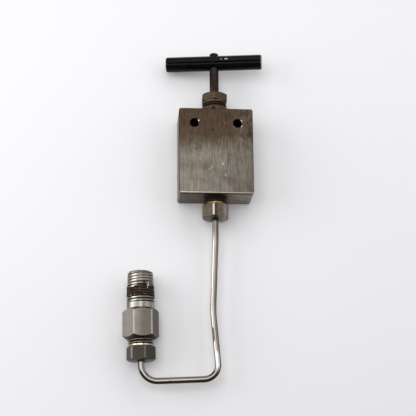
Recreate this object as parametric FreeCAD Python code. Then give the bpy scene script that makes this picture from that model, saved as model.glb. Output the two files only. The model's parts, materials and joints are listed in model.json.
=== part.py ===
"""High-pressure needle valve with a bent steel tube and a male pipe connector.

The valve lies on the back face of its block: X runs across the block, Y runs along the
stem towards the handle, Z points out of the block's front face. The origin is the centre
of the back face. All sizes are millimetres.
"""
import FreeCAD
import Part
import math
import os

Vector = FreeCAD.Vector

# Valve block
block_width = 38.1
block_height = 45.72
block_thickness = 19.05
block_corner_radius = 1.2
block_edge_break = 0.35
boss_radius = 7.15
boss_height = 2.95
boss_root_radius = 1.3
panel_hole_radius = 2.2
panel_hole_spacing = 22.22
panel_hole_from_top = 7.94
hole_edge_break = 0.3

# Straight thread that the packing gland and both tube nuts share
gland_thread_radius = 6.35
gland_thread_pitch = 1.27
gland_thread_depth = 0.69
gland_wrench_size = 12.7
thread_gap = 0.05

# Coned tube port, cut in the block twice and in the connector once
port_thread_depth = 7.5
port_counterbore_radius = 3.35
port_counterbore_depth = 2.7
port_cone_half_angle = 30.0
orifice_radius = 0.8
outlet_height = 2.1

# Seat and stem bore in the block
seat_height = -2.2
seat_half_angle = 30.0
flow_chamber_radius = 2.6
flow_chamber_top = 3.4
packing_floor = 4.6
packing_bore_radius = 4.76
packing_bore_depth = 7.4

# Packing around the lower stem
lower_washer_thickness = 1.3
packing_ring_thickness = 1.5
packing_ring_count = 3
upper_washer_thickness = 1.4
packing_outer_gap = 0.03

# Packing gland
gland_thread_showing = 2.95
gland_hex_height = 4.55
gland_hex_turn = 0.0
gland_nose_length = 0.8
washer_face_radius = 6.15
washer_face_height = 0.5
lock_screw_radius = 1.0
lock_screw_length = 2.6
lock_screw_socket_radius = 0.45
lock_screw_socket_depth = 0.9
lock_screw_above_block = 1.25
lock_screw_turn = -8.0

# Tube nuts
nut_depth_in_port = 6.8
nut_collar_height = 0.9
nut_hex_height = 7.1
nut_hex_chamfer_radius = 6.1
nut_countersink_radius = 2.6
inlet_thread_showing = 3.0
inlet_nut_turn = -10.0
connector_thread_showing = 2.4
connector_nut_turn = -42.0
sleeve_gap = 0.08
sleeve_nose_radius = 1.9

# Bent tube
tube_radius = 1.5875
tube_bore_radius = 0.79
tube_hole_gap = 0.15
tube_depth_in_port = 12.6
tube_first_run_end = -43.8
tube_kink_x = -1.53
tube_kink_y = -81.5
tube_right_corner_x = 1.37
tube_right_corner_y = -114.6
tube_left_corner_from_port = 20.45
tube_gentle_bend_radius = 60.0
tube_right_bend_radius = 7.1
tube_left_bend_radius = 7.9

# Male pipe connector
connector_port_x = -37.15
connector_port_y = -95.6
connector_yaw = 1.1
connector_wrench_size = 15.875
connector_hex_length = 15.3
connector_hex_turn = -24.0
connector_hex_chamfer_radius = 6.9
connector_hex_chamfer_angle = 38.0
connector_neck_length = 2.9
pipe_thread_length = 15.7
pipe_thread_radius = 6.858
pipe_thread_taper = 1.0 / 32.0
pipe_thread_pitch = 1.411
pipe_thread_depth = 1.0
pipe_end_chamfer = 0.8
pipe_bore_radius = 2.4
pipe_bore_depth = 12.0
sealant_thickness = 0.3
sealant_start = 3.0
sealant_length = 6.2
sealant_gap = 0.03

# Lower stem, which slides and doesn't turn
needle_radius = 1.98
needle_tip_radius = 0.25
needle_neck_radius = 1.2
needle_head_radius = 2.1
needle_head_height = 1.2
running_gap = 0.05
closed_gap = 0.06
stem_lead = 0.907
turns_open = 1.0
turns_to_full_open = 2.0

# Spindle, the upper stem, which turns
spindle_radius = 2.38
spindle_thread_radius = 3.175
spindle_thread_length = 11.4
spindle_thread_depth = 0.35
spindle_foot_gap = 1.6
spindle_socket_radius = 2.3
spindle_end_above_bar = 1.45
spindle_end_dome = 0.45
retainer_height = 1.8
retainer_bore_gap = 0.1
retainer_split = 0.2
thrust_washer_thickness = 0.6
joint_play = 0.1
shoulder_gap = 0.2

# Handle bar, rolled from plate with an open seam
bar_radius = 3.97
bar_wall = 1.6
bar_length = 51.2
bar_height = 52.3
bar_turn = 7.68
bar_end_radius = 1.0
bar_seam_width = 0.5
bar_seam_turn = 10.7
bar_hole_gap = 0.04
pin_radius = 0.8
pin_length = 6.0
pin_inset = 0.25
pin_gap = 0.02

chamfer_angle = 30.0
overlap = 0.5

# Places that follow from the sizes above
stem_z = block_thickness / 2
block_top = block_height / 2
block_bottom = -block_height / 2
boss_top = block_top + boss_height
panel_hole_y = block_top - panel_hole_from_top
port_cone_length = (port_counterbore_radius - orifice_radius) / math.tan(math.radians(port_cone_half_angle))
port_depth = port_thread_depth + port_counterbore_depth + port_cone_length
packing_top = packing_floor + packing_bore_depth
gland_foot = (packing_floor + lower_washer_thickness + upper_washer_thickness
              + packing_ring_count * packing_ring_thickness)
gland_collar_y = boss_top + gland_thread_showing
gland_top = gland_collar_y + washer_face_height + gland_hex_height
spindle_foot = gland_foot + spindle_foot_gap
spindle_thread_top = spindle_foot + spindle_thread_length
gland_shoulder = spindle_thread_top + turns_to_full_open * stem_lead + shoulder_gap
retainer_top = spindle_foot + retainer_height
needle_head_foot = retainer_top + joint_play
needle_head_top = needle_head_foot + needle_head_height
thrust_washer_foot = needle_head_top + joint_play
socket_top = thrust_washer_foot + thrust_washer_thickness
spindle_top = bar_height + bar_radius + spindle_end_above_bar
lift_at_rest = turns_open * stem_lead
connector_z = connector_wrench_size / math.sqrt(3) * math.cos(math.radians(abs(connector_hex_turn)))
lock_screw_y = block_top + lock_screw_above_block


def turned(outline):
    """Return the solid that a closed outline of (radius, height) points sweeps about the Y axis."""
    points = [Vector(radius, height, 0) for radius, height in outline]
    face = Part.Face(Part.makePolygon(points + points[:1]))
    return face.revolve(Vector(0, 0, 0), Vector(0, 1, 0), 360)


def rod(radius, low, high):
    """Return a plain cylinder on the Y axis from low to high."""
    return Part.makeCylinder(radius, high - low, Vector(0, low, 0), Vector(0, 1, 0))


def hex_bar(wrench_size, low, high, turn):
    """Return a hexagonal bar on the Y axis, one corner turned from +Z towards +X by turn degrees."""
    corner_radius = wrench_size / math.sqrt(3)
    corners = []
    for side in range(6):
        angle = math.radians(turn + 60 * side)
        corners.append(Vector(corner_radius * math.sin(angle), low, corner_radius * math.cos(angle)))
    face = Part.Face(Part.makePolygon(corners + corners[:1]))
    return face.extrude(Vector(0, high - low, 0))


def chamfered_hex(wrench_size, low, high, turn, end_radius, angle):
    """Return a hexagonal bar whose corners are turned down to end_radius at both ends."""
    corner_radius = wrench_size / math.sqrt(3) + overlap
    slope = (corner_radius - end_radius) * math.tan(math.radians(angle))
    outline = [(0, low), (end_radius, low), (corner_radius, low + slope)]
    outline += [(corner_radius, high - slope), (end_radius, high), (0, high)]
    return hex_bar(wrench_size, low, high, turn).common(turned(outline))


def thread_outline(low, high, low_radius, high_radius, pitch, depth):
    """Return (radius, height) points of V grooves between two heights, with narrow crests."""
    count = int((high - low) / pitch)
    margin = (high - low - count * pitch) / 2

    def crest(height):
        return low_radius + (high_radius - low_radius) * (height - low) / (high - low)

    points = [(low_radius, low)]
    for groove in range(count):
        start = low + margin + groove * pitch
        for share, cut in ((0.1, 0.0), (0.45, depth), (0.55, depth), (0.9, 0.0)):
            height = start + share * pitch
            points.append((crest(height) - cut, height))
    points.append((high_radius, high))
    return points


def ring(outer_radius, inner_radius, low, high):
    """Return a flat ring on the Y axis."""
    return rod(outer_radius, low, high).cut(rod(inner_radius, low - overlap, high + overlap))


def port_void(thread_radius, reach):
    """Return the empty space of a tube port whose mouth is at height 0 and which runs up +Y."""
    bore_start = port_thread_depth + port_counterbore_depth
    outline = [(0, -overlap), (thread_radius, -overlap), (thread_radius, port_thread_depth)]
    outline += [(port_counterbore_radius, port_thread_depth), (port_counterbore_radius, bore_start)]
    outline += [(orifice_radius, port_depth), (orifice_radius, reach), (0, reach)]
    return turned(outline)


def on_stem_axis(shape):
    """Return the shape moved from the Y axis through the origin to the stem axis."""
    return shape.translated(Vector(0, 0, stem_z))


def on_connector_axis(shape):
    """Return the shape moved from the Y axis to the connector, height 0 at its port face."""
    placed = shape.copy()
    placed.rotate(Vector(0, 0, 0), Vector(0, 0, 1), connector_yaw)
    placed.translate(Vector(connector_port_x, connector_port_y, connector_z))
    return placed


def connector_point(height):
    """Return the point on the connector's axis at a height above its port face."""
    angle = math.radians(connector_yaw)
    x = connector_port_x - height * math.sin(angle)
    y = connector_port_y + height * math.cos(angle)
    return Vector(x, y, connector_z)


def lock_screw_rod(radius, inner, outer):
    """Return a rod where the lock screw lies, between two distances from the Y axis."""
    shape = Part.makeCylinder(radius, outer - inner, Vector(0, lock_screw_y, inner), Vector(0, 0, 1))
    shape.rotate(Vector(0, 0, 0), Vector(0, 1, 0), lock_screw_turn)
    return shape


def body_block():
    """Square block with a round boss, stem bore, seat, two tube ports and two panel holes."""
    corner = Vector(-block_width / 2, block_bottom, -stem_z)
    block = Part.makeBox(block_width, block_height, block_thickness, corner)
    upright = [edge for edge in block.Edges if abs(edge.tangentAt(edge.FirstParameter).z) > 0.9]
    block = block.makeFillet(block_corner_radius, upright)
    rims = [edge for edge in block.Edges if abs(abs(edge.CenterOfMass.z) - stem_z) < 0.01]
    block = block.makeChamfer(block_edge_break, rims)

    block = block.fuse(rod(boss_radius, 0, boss_top))
    roots = [edge for edge in block.Edges if is_circle(edge, boss_radius, block_top)]
    block = block.makeFillet(boss_root_radius, roots)

    bore_radius = gland_thread_radius + thread_gap
    seat_slope = math.tan(math.radians(seat_half_angle))
    seat_top = seat_height + (flow_chamber_radius - orifice_radius) / seat_slope
    stem_hole_radius = needle_radius + running_gap
    outline = [(0, seat_height - overlap), (orifice_radius, seat_height - overlap)]
    outline += [(orifice_radius, seat_height), (flow_chamber_radius, seat_top)]
    outline += [(flow_chamber_radius, flow_chamber_top), (stem_hole_radius, flow_chamber_top)]
    outline += [(stem_hole_radius, packing_floor), (packing_bore_radius, packing_floor)]
    outline += [(packing_bore_radius, packing_top), (bore_radius, packing_top)]
    outline += [(bore_radius, boss_top + overlap), (0, boss_top + overlap)]
    block = block.cut(turned(outline))

    inlet = port_void(bore_radius, seat_height - block_bottom)
    block = block.cut(inlet.translated(Vector(0, block_bottom, 0)))

    outlet = port_void(gland_thread_radius - gland_thread_depth, block_width / 2)
    outlet.rotate(Vector(0, 0, 0), Vector(0, 0, 1), 90)
    block = block.cut(outlet.translated(Vector(block_width / 2, outlet_height, 0)))

    for side in (-1, 1):
        x = side * panel_hole_spacing / 2
        foot = Vector(x, panel_hole_y, -stem_z - overlap)
        block = block.cut(Part.makeCylinder(panel_hole_radius, block_thickness + 2 * overlap, foot))
        for face_z, direction in ((-stem_z, 1), (stem_z, -1)):
            countersink = Part.makeCone(
                panel_hole_radius + hole_edge_break, panel_hole_radius, hole_edge_break,
                Vector(x, panel_hole_y, face_z), Vector(0, 0, direction))
            block = block.cut(countersink)

    lock_hole = lock_screw_rod(lock_screw_radius + thread_gap, 0, boss_radius + boss_root_radius)
    return on_stem_axis(block.cut(lock_hole))


def is_circle(edge, radius, height):
    """Tell whether an edge is a circle about the Y axis with this radius and height."""
    if edge.Curve.TypeId != "Part::GeomCircle":
        return False
    return abs(edge.Curve.Radius - radius) < 0.01 and abs(edge.Curve.Center.y - height) < 0.01


def packing_gland():
    """Hexagonal gland that presses the packing and carries the spindle's thread."""
    thread_foot = gland_foot + gland_nose_length
    lead_in = gland_thread_depth
    nose_radius = packing_bore_radius - thread_gap
    outline = [(0, gland_foot), (nose_radius, gland_foot), (nose_radius, thread_foot)]
    outline += [(gland_thread_radius - lead_in, thread_foot)]
    outline += thread_outline(thread_foot + lead_in, gland_collar_y, gland_thread_radius,
                              gland_thread_radius, gland_thread_pitch, gland_thread_depth)
    outline += [(washer_face_radius, gland_collar_y)]
    outline += [(washer_face_radius, gland_collar_y + washer_face_height + overlap)]
    outline += [(0, gland_collar_y + washer_face_height + overlap)]
    hexagon = chamfered_hex(gland_wrench_size, gland_collar_y + washer_face_height, gland_top,
                            gland_hex_turn, washer_face_radius, chamfer_angle)
    gland = turned(outline).fuse(hexagon)

    thread_bore = spindle_thread_radius + running_gap
    gland = gland.cut(rod(thread_bore, gland_foot - overlap, gland_shoulder))
    gland = gland.cut(rod(spindle_radius + running_gap, gland_shoulder - overlap, gland_top + overlap))
    dimple_depth = boss_radius - lock_screw_length
    dimple = lock_screw_rod(lock_screw_radius + thread_gap, dimple_depth, boss_radius)
    return on_stem_axis(gland.cut(dimple))


def gland_lock_screw():
    """Headless socket screw that stops the packing gland from turning."""
    foot = boss_radius - lock_screw_length + thread_gap
    screw = lock_screw_rod(lock_screw_radius, foot, boss_radius - thread_gap)
    socket_foot = boss_radius - lock_screw_socket_depth
    socket = lock_screw_rod(lock_screw_socket_radius, socket_foot, boss_radius)
    return on_stem_axis(screw.cut(socket))


def packing_piece(low, thickness):
    """Ring in the packing bore with running clearance on the lower stem."""
    outer = packing_bore_radius - packing_outer_gap
    return on_stem_axis(ring(outer, needle_radius + running_gap, low, low + thickness))


def tube_nut(thread_showing, turn):
    """Hollow hexagonal nut that holds a tube, port face at height 0 and hexagon below it."""
    collar_top = -thread_showing
    hex_top = collar_top - nut_collar_height
    hex_foot = hex_top - nut_hex_height
    lead_in = gland_thread_depth
    outline = [(0, hex_top - overlap), (washer_face_radius, hex_top - overlap)]
    outline += [(washer_face_radius, collar_top)]
    outline += thread_outline(collar_top, nut_depth_in_port - lead_in, gland_thread_radius,
                              gland_thread_radius, gland_thread_pitch, gland_thread_depth)
    outline += [(gland_thread_radius - lead_in, nut_depth_in_port), (0, nut_depth_in_port)]
    hexagon = chamfered_hex(gland_wrench_size, hex_foot, hex_top, turn,
                            nut_hex_chamfer_radius, chamfer_angle)
    nut = turned(outline).fuse(hexagon)
    hole_radius = tube_radius + tube_hole_gap
    nut = nut.cut(rod(hole_radius, hex_foot - overlap, nut_depth_in_port + overlap))
    countersink_height = nut_countersink_radius - hole_radius
    outline = [(0, hex_foot), (nut_countersink_radius, hex_foot)]
    outline += [(hole_radius, hex_foot + countersink_height), (0, hex_foot + countersink_height)]
    return nut.cut(turned(outline))


def tube_sleeve():
    """Coned sleeve that grips the tube between the nut's end and the port's cone."""
    slope = math.tan(math.radians(port_cone_half_angle))
    bore_start = port_thread_depth + port_counterbore_depth
    outer = port_counterbore_radius - sleeve_gap
    nose_height = bore_start + (port_counterbore_radius - sleeve_gap - sleeve_nose_radius) / slope
    outline = [(0, nut_depth_in_port), (outer, nut_depth_in_port), (outer, bore_start)]
    outline += [(sleeve_nose_radius, nose_height), (0, nose_height)]
    hole = rod(tube_radius + sleeve_gap, nut_depth_in_port - overlap, nose_height + overlap)
    return turned(outline).cut(hole)


def tube_path():
    """Return the tube's centre line as straight runs joined by tangent arcs."""
    start = Vector(0, block_bottom + tube_depth_in_port, stem_z)
    first = Vector(0, tube_first_run_end, stem_z)
    last = connector_point(-tube_left_corner_from_port)
    bends = [first, Vector(tube_kink_x, tube_kink_y, 0)]
    bends += [Vector(tube_right_corner_x, tube_right_corner_y, 0), last]
    bends[1].z = stem_z + (connector_z - stem_z) * fraction_along(bends, 1)
    bends[2].z = stem_z + (connector_z - stem_z) * fraction_along(bends, 2)
    radii = [tube_gentle_bend_radius, tube_gentle_bend_radius,
             tube_right_bend_radius, tube_left_bend_radius]
    points = [start] + bends + [connector_point(tube_depth_in_port)]

    edges = []
    here = start
    for index, radius in enumerate(radii, start=1):
        corner = points[index]
        back = (points[index - 1] - corner).normalize()
        ahead = (points[index + 1] - corner).normalize()
        half_turn = (math.pi - back.getAngle(ahead)) / 2
        reach = radius * math.tan(half_turn)
        arc_start = corner + back * reach
        arc_end = corner + ahead * reach
        inward = (back + ahead).normalize()
        arc_middle = corner + inward * (radius / math.cos(half_turn) - radius)
        edges.append(Part.LineSegment(here, arc_start).toShape())
        edges.append(Part.Arc(arc_start, arc_middle, arc_end).toShape())
        here = arc_end
    edges.append(Part.LineSegment(here, points[-1]).toShape())
    return Part.Wire(edges)


def fraction_along(points, index):
    """Return how far along the route a point lies, from 0 at the first to 1 at the last."""
    runs = []
    for start, end in zip(points, points[1:]):
        runs.append(math.hypot(end.x - start.x, end.y - start.y))
    return sum(runs[:index]) / sum(runs)


def pressure_tube():
    """Thick-walled tube from the valve's inlet to the connector, bent cold."""
    path = tube_path()
    start = path.Vertexes[0].Point
    sections = []
    for radius in (tube_radius, tube_bore_radius):
        circle = Part.Wire(Part.makeCircle(radius, start, Vector(0, -1, 0)))
        sections.append(path.makePipeShell([circle], True, True))
    tube = sections[0].cut(sections[1])
    area = math.pi * (tube_radius ** 2 - tube_bore_radius ** 2)
    print("tube length", round(path.Length, 2), "volume ratio", round(tube.Volume / area / path.Length, 4))
    return tube


def connector_body():
    """Hexagonal connector with a tapered male pipe thread above and a tube port below."""
    neck_top = connector_hex_length + connector_neck_length
    pipe_end = neck_top + pipe_thread_length
    end_radius = pipe_thread_radius - pipe_thread_length * pipe_thread_taper
    chamfer_start = pipe_end - pipe_end_chamfer
    outline = [(0, connector_hex_length - overlap), (pipe_thread_radius, connector_hex_length - overlap)]
    outline += thread_outline(neck_top, chamfer_start, pipe_thread_radius,
                              end_radius + pipe_end_chamfer * pipe_thread_taper,
                              pipe_thread_pitch, pipe_thread_depth)
    outline += [(end_radius - pipe_end_chamfer, pipe_end), (0, pipe_end)]
    hexagon = chamfered_hex(connector_wrench_size, 0, connector_hex_length, connector_hex_turn,
                            connector_hex_chamfer_radius, connector_hex_chamfer_angle)
    body = turned(outline).fuse(hexagon)
    body = body.cut(port_void(gland_thread_radius + thread_gap, pipe_end - overlap))
    body = body.cut(rod(pipe_bore_radius, pipe_end - pipe_bore_depth, pipe_end + overlap))
    return on_connector_axis(body)


def thread_sealant():
    """Band of hardened sealing paste left around the pipe thread's crests."""
    neck_top = connector_hex_length + connector_neck_length
    low = neck_top + sealant_start
    high = low + sealant_length
    outline = []
    for height, lift in ((low, sealant_gap), (high, sealant_gap), (high, sealant_gap + sealant_thickness),
                         (low, sealant_gap + sealant_thickness)):
        crest = pipe_thread_radius - (height - neck_top) * pipe_thread_taper
        outline.append((crest + lift, height))
    return on_connector_axis(turned(outline))


def needle_stem():
    """Lower stem: coned tip, ground shank through the packing, neck and button head."""
    slope = math.tan(math.radians(seat_half_angle))
    closed_tip = seat_height + (needle_tip_radius + closed_gap - orifice_radius) / slope
    cone_height = (needle_radius - needle_tip_radius) / slope
    tip = closed_tip + lift_at_rest
    shank_top = spindle_foot - joint_play
    outline = [(0, tip), (needle_tip_radius, tip), (needle_radius, tip + cone_height)]
    outline += [(needle_radius, shank_top), (needle_neck_radius, shank_top)]
    outline += [(needle_neck_radius, needle_head_foot), (needle_head_radius, needle_head_foot)]
    outline += [(needle_head_radius, needle_head_top), (0, needle_head_top)]
    return on_stem_axis(turned(outline))


def stem_retainer():
    """Two half rings in the spindle's foot that hold the lower stem by its neck."""
    outer = spindle_socket_radius - pin_gap
    inner = needle_neck_radius + retainer_bore_gap
    whole = ring(outer, inner, spindle_foot, retainer_top)
    size = 4 * outer
    corner = Vector(-size / 2, spindle_foot - overlap, -retainer_split / 2)
    gap = Part.makeBox(size, retainer_height + 2 * overlap, retainer_split, corner)
    return on_stem_axis(whole.cut(gap))


def thrust_washer():
    """Hard washer that takes the closing thrust between the spindle and the lower stem."""
    washer = rod(spindle_socket_radius - pin_gap, thrust_washer_foot, socket_top)
    return on_stem_axis(washer)


def across_bar(shape):
    """Return a shape made square to the block turned about the stem to the bar's position."""
    placed = shape.copy()
    placed.rotate(Vector(0, 0, 0), Vector(0, 1, 0), -bar_turn)
    return placed


def pin_hole(radius):
    """Return the round space through the bar's rear wall and the spindle for the cross pin."""
    return Part.makeCylinder(radius, pin_length + pin_inset + overlap,
                             Vector(0, bar_height, -bar_radius - overlap), Vector(0, 0, 1))


def spindle():
    """Upper stem: power thread, socket for the lower stem, and a long plain shank."""
    outline = [(0, spindle_foot)]
    outline += thread_outline(spindle_foot, spindle_thread_top, spindle_thread_radius,
                              spindle_thread_radius, stem_lead, spindle_thread_depth)
    outline += [(spindle_radius, spindle_thread_top), (spindle_radius, spindle_top - spindle_end_dome)]
    outline += [(spindle_radius - spindle_end_dome, spindle_top), (0, spindle_top)]
    shape = turned(outline).cut(rod(spindle_socket_radius, spindle_foot - overlap, socket_top))
    return on_stem_axis(shape.cut(across_bar(pin_hole(pin_radius + pin_gap))))


def handle_bar():
    """Cross bar rolled into a tube, its open seam towards the front of the valve."""
    half = bar_length / 2
    start = Vector(-half, bar_height, 0)
    along = Vector(1, 0, 0)
    bar = Part.makeCylinder(bar_radius, bar_length, start, along)
    bar = bar.makeFillet(bar_end_radius, [edge for edge in bar.Edges if is_end_circle(edge)])
    inner_start = start - along * overlap
    bar = bar.cut(Part.makeCylinder(bar_radius - bar_wall, bar_length + 2 * overlap, inner_start, along))

    corner = Vector(-half - overlap, bar_height - bar_seam_width / 2, 0)
    seam = Part.makeBox(bar_length + 2 * overlap, bar_seam_width, bar_radius + overlap, corner)
    seam.rotate(Vector(0, bar_height, 0), Vector(1, 0, 0), bar_seam_turn)
    bar = bar.cut(seam)

    low = bar_height - bar_radius - overlap
    high = bar_height + bar_radius + overlap
    bar = bar.cut(rod(spindle_radius + bar_hole_gap, low, high))
    bar = bar.cut(pin_hole(pin_radius + pin_gap))
    return on_stem_axis(across_bar(bar))


def is_end_circle(edge):
    """Tell whether an edge of the plain bar is one of its two end circles."""
    return edge.Curve.TypeId == "Part::GeomCircle"


def handle_pin():
    """Grooved pin driven from the back through the bar and the spindle."""
    foot = Vector(0, bar_height, -bar_radius + pin_inset)
    pin = Part.makeCylinder(pin_radius, pin_length, foot, Vector(0, 0, 1))
    return on_stem_axis(across_bar(pin))


def inlet_piece(shape):
    """Return a tube-port piece moved to the inlet, its port face at the block's foot."""
    return on_stem_axis(shape.translated(Vector(0, block_bottom, 0)))


def packing_set():
    """Return the packing pieces by name, from the floor of the packing bore upwards."""
    pieces = {}
    low = packing_floor
    pieces["packing_washer_lower"] = packing_piece(low, lower_washer_thickness)
    low += lower_washer_thickness
    for number in range(1, packing_ring_count + 1):
        pieces["packing_ring_%d" % number] = packing_piece(low, packing_ring_thickness)
        low += packing_ring_thickness
    pieces["packing_washer_upper"] = packing_piece(low, upper_washer_thickness)
    return pieces


def all_parts():
    """Return every separate piece of the valve by its name."""
    parts = {
        "body_block": body_block(),
        "packing_gland": packing_gland(),
        "gland_lock_screw": gland_lock_screw(),
        "inlet_gland_nut": inlet_piece(tube_nut(inlet_thread_showing, inlet_nut_turn)),
        "inlet_sleeve": inlet_piece(tube_sleeve()),
        "pressure_tube": pressure_tube(),
        "connector_body": connector_body(),
        "connector_gland_nut": on_connector_axis(tube_nut(connector_thread_showing, connector_nut_turn)),
        "connector_sleeve": on_connector_axis(tube_sleeve()),
        "thread_sealant": thread_sealant(),
        "needle_stem": needle_stem(),
        "stem_retainer": stem_retainer(),
        "thrust_washer": thrust_washer(),
        "spindle": spindle(),
        "handle_bar": handle_bar(),
        "handle_pin": handle_pin(),
    }
    parts.update(packing_set())
    return parts


os.makedirs("parts", exist_ok=True)
for name, shape in all_parts().items():
    shape.exportStep("parts/%s.step" % name)
    box = shape.BoundBox
    print(name, len(shape.Solids), "solids, valid", shape.isValid(), "volume", round(shape.Volume, 1),
          "z", round(box.ZMin, 2), round(box.ZMax, 2))
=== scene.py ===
"""Looks of a small high-pressure needle valve: a steel block with a T handle, a bent tube below it
and a hexagonal pipe connector at the tube's other end. Each section is one piece of the valve, in
the order in which it is put together. Shapes are made in millimetres and scaled when they are placed."""
import json
import math
import bmesh
import bpy
from mathutils import Color, Matrix, Vector, noise


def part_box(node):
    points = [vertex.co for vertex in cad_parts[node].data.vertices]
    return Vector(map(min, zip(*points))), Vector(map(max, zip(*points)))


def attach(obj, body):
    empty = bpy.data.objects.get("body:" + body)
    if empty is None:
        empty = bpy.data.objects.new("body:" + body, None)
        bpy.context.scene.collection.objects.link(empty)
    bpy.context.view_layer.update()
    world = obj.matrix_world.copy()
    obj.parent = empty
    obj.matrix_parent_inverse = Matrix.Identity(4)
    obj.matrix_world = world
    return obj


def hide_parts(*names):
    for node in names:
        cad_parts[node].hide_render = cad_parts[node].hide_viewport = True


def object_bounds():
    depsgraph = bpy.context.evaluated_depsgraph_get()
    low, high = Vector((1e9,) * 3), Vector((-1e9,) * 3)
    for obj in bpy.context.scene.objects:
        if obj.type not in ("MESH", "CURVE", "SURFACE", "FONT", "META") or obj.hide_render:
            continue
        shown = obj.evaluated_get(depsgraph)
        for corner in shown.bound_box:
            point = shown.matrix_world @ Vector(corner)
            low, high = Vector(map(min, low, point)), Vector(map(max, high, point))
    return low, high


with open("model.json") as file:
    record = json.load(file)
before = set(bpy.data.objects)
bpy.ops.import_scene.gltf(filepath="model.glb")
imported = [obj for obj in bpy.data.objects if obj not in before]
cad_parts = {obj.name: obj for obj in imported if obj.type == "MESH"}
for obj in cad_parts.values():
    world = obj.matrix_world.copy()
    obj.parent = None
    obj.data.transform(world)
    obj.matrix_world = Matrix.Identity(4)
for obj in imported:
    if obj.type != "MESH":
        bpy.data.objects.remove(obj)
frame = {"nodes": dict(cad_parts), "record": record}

cad_low, cad_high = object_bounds()
mm = 0.001

# The camera is a long lens high above the table. It looks down on the valve's front, a little
# from the tube's side and from the left, and is rolled so that the stem points up the picture.
camera_azimuth = math.radians(-14.525)
camera_elevation = math.radians(72.953)
camera_roll = math.radians(14.743)
camera_distance = 542.19
camera_target = Vector((-3.0, -25.15, 0.0))
focal_length = 90.2
sensor_width = 36.0


def set_out(name, data):
    """Put an object made of a lens, a mesh or a lamp in the scene."""
    made = bpy.data.objects.new(name, data)
    bpy.context.scene.collection.objects.link(made)
    return made


lens = bpy.data.cameras.new("lens")
lens.lens = focal_length
lens.sensor_width = sensor_width
lens.clip_start = 0.01
camera = set_out("camera", lens)
facing = Matrix.Rotation(camera_azimuth, 4, "Z") @ Matrix.Rotation(math.pi / 2 - camera_elevation, 4, "X")
facing = Matrix.Translation(camera_target * mm) @ facing @ Matrix.Rotation(camera_roll, 4, "Z")
camera.matrix_world = facing @ Matrix.Translation((0.0, 0.0, camera_distance * mm))
bpy.context.scene.camera = camera
bpy.context.scene.view_settings.view_transform = "Standard"

# The valve block is sawn and ground from stainless bar, with a round boss turned on its top for
# the packing gland. A tube port comes up from its foot, another from its right side, and two
# plain holes for panel screws go right through. Its upper third is stained brown.
boss_radius = 7.15
boss_height = 2.95
boss_root = 1.3
boss_edge = 0.2
corner_radius = 1.2
edge_break = 0.35
panel_hole_radius = 2.2
hole_edge = 0.3
thread_radius = 6.35
thread_pitch = 1.27
thread_depth = 0.69
thread_root = thread_radius - thread_depth
thread_gap = 0.05
port_thread_depth = 7.5
counterbore_radius = 3.35
counterbore_depth = 2.7
orifice_radius = 0.8
cone_slope = math.tan(math.radians(30.0))
seat_height = -2.2
chamber_radius = 2.6
chamber_top = 3.4
needle_hole_radius = 2.03
packing_floor = 4.6
packing_bore_radius = 4.76
packing_top = 12.0
lock_hole_radius = 1.05
lock_hole_height = 1.25
lock_turn = math.radians(-8.0)
nick_spots = ((-1.86, 10.92, 0.5), (-10.01, 0.7, 0.36))
nick_depth = 0.2
past = 0.5
same_point = 0.0005

block_low, block_high = (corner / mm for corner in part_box("body_block"))
block_top = block_high.y - boss_height
block_size = Vector((block_high.x - block_low.x, block_top - block_low.y, block_high.z - block_low.z))
stem_z = (block_low.z + block_high.z) / 2
stem_place = Matrix.Translation((0.0, 0.0, stem_z * mm))
tipped_forward = Matrix.Rotation(math.pi / 2, 4, "X")
mounts = {mount["name"]: mount for mount in frame["record"]["mounts"]}


def arc(centre, radius, start, end, steps=6):
    """Return (radius, height) points along an arc from start to end degrees about its centre."""
    points = []
    for step in range(steps + 1):
        angle = math.radians(start + (end - start) * step / steps)
        points.append((centre[0] + radius * math.cos(angle), centre[1] + radius * math.sin(angle)))
    return points


def spun(outline, looped, **sweep):
    """Sweep an outline of (radius, height) points about the Y axis, as an open line or as a loop."""
    shape = bmesh.new()
    verts = [shape.verts.new((radius, height, 0.0)) for radius, height in outline]
    edges = [shape.edges.new(pair) for pair in zip(verts, verts[1:])]
    if looped:
        edges.append(shape.edges.new((verts[-1], verts[0])))
    bmesh.ops.spin(shape, geom=verts + edges, cent=(0, 0, 0), axis=(0, 1, 0), **sweep)
    return shape


def turned(outline, steps=96):
    """Turn an outline of (radius, height) points into a closed round shape on the Y axis."""
    shape = spun(outline, outline[0][0] > 0.0, angle=math.tau, steps=steps, use_merge=True)
    bmesh.ops.remove_doubles(shape, verts=shape.verts, dist=same_point)
    bmesh.ops.recalc_face_normals(shape, faces=shape.faces)
    return shape


def plug(low, high, radius, low_edge=0.0, high_edge=0.0, steps=96):
    """Return a round plug on the Y axis between two heights, with its edges broken where asked."""
    outline = [(0, low), (radius - low_edge, low), (radius, low + low_edge), (radius, high - high_edge),
               (radius - high_edge, high), (0, high)]
    return turned(list(dict.fromkeys(outline)), steps)


def rounded(shape, edges, size, segments):
    """Round off edges of a bmesh."""
    bmesh.ops.bevel(shape, geom=edges, offset=size, segments=segments, profile=0.5, affect="EDGES",
                    material=-1)


def trimmed(shape, point, outward):
    """Cut away what lies beyond a plane and close the cut with one flat face."""
    everything = shape.verts[:] + shape.edges[:] + shape.faces[:]
    bmesh.ops.bisect_plane(shape, geom=everything, dist=0.0001, plane_co=point, plane_no=outward,
                           clear_outer=True)
    rim = [edge for edge in shape.edges if edge.is_boundary
           and all(abs((vert.co - point).dot(outward)) < 0.001 for vert in edge.verts)]
    bmesh.ops.holes_fill(shape, edges=rim, sides=0)


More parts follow.
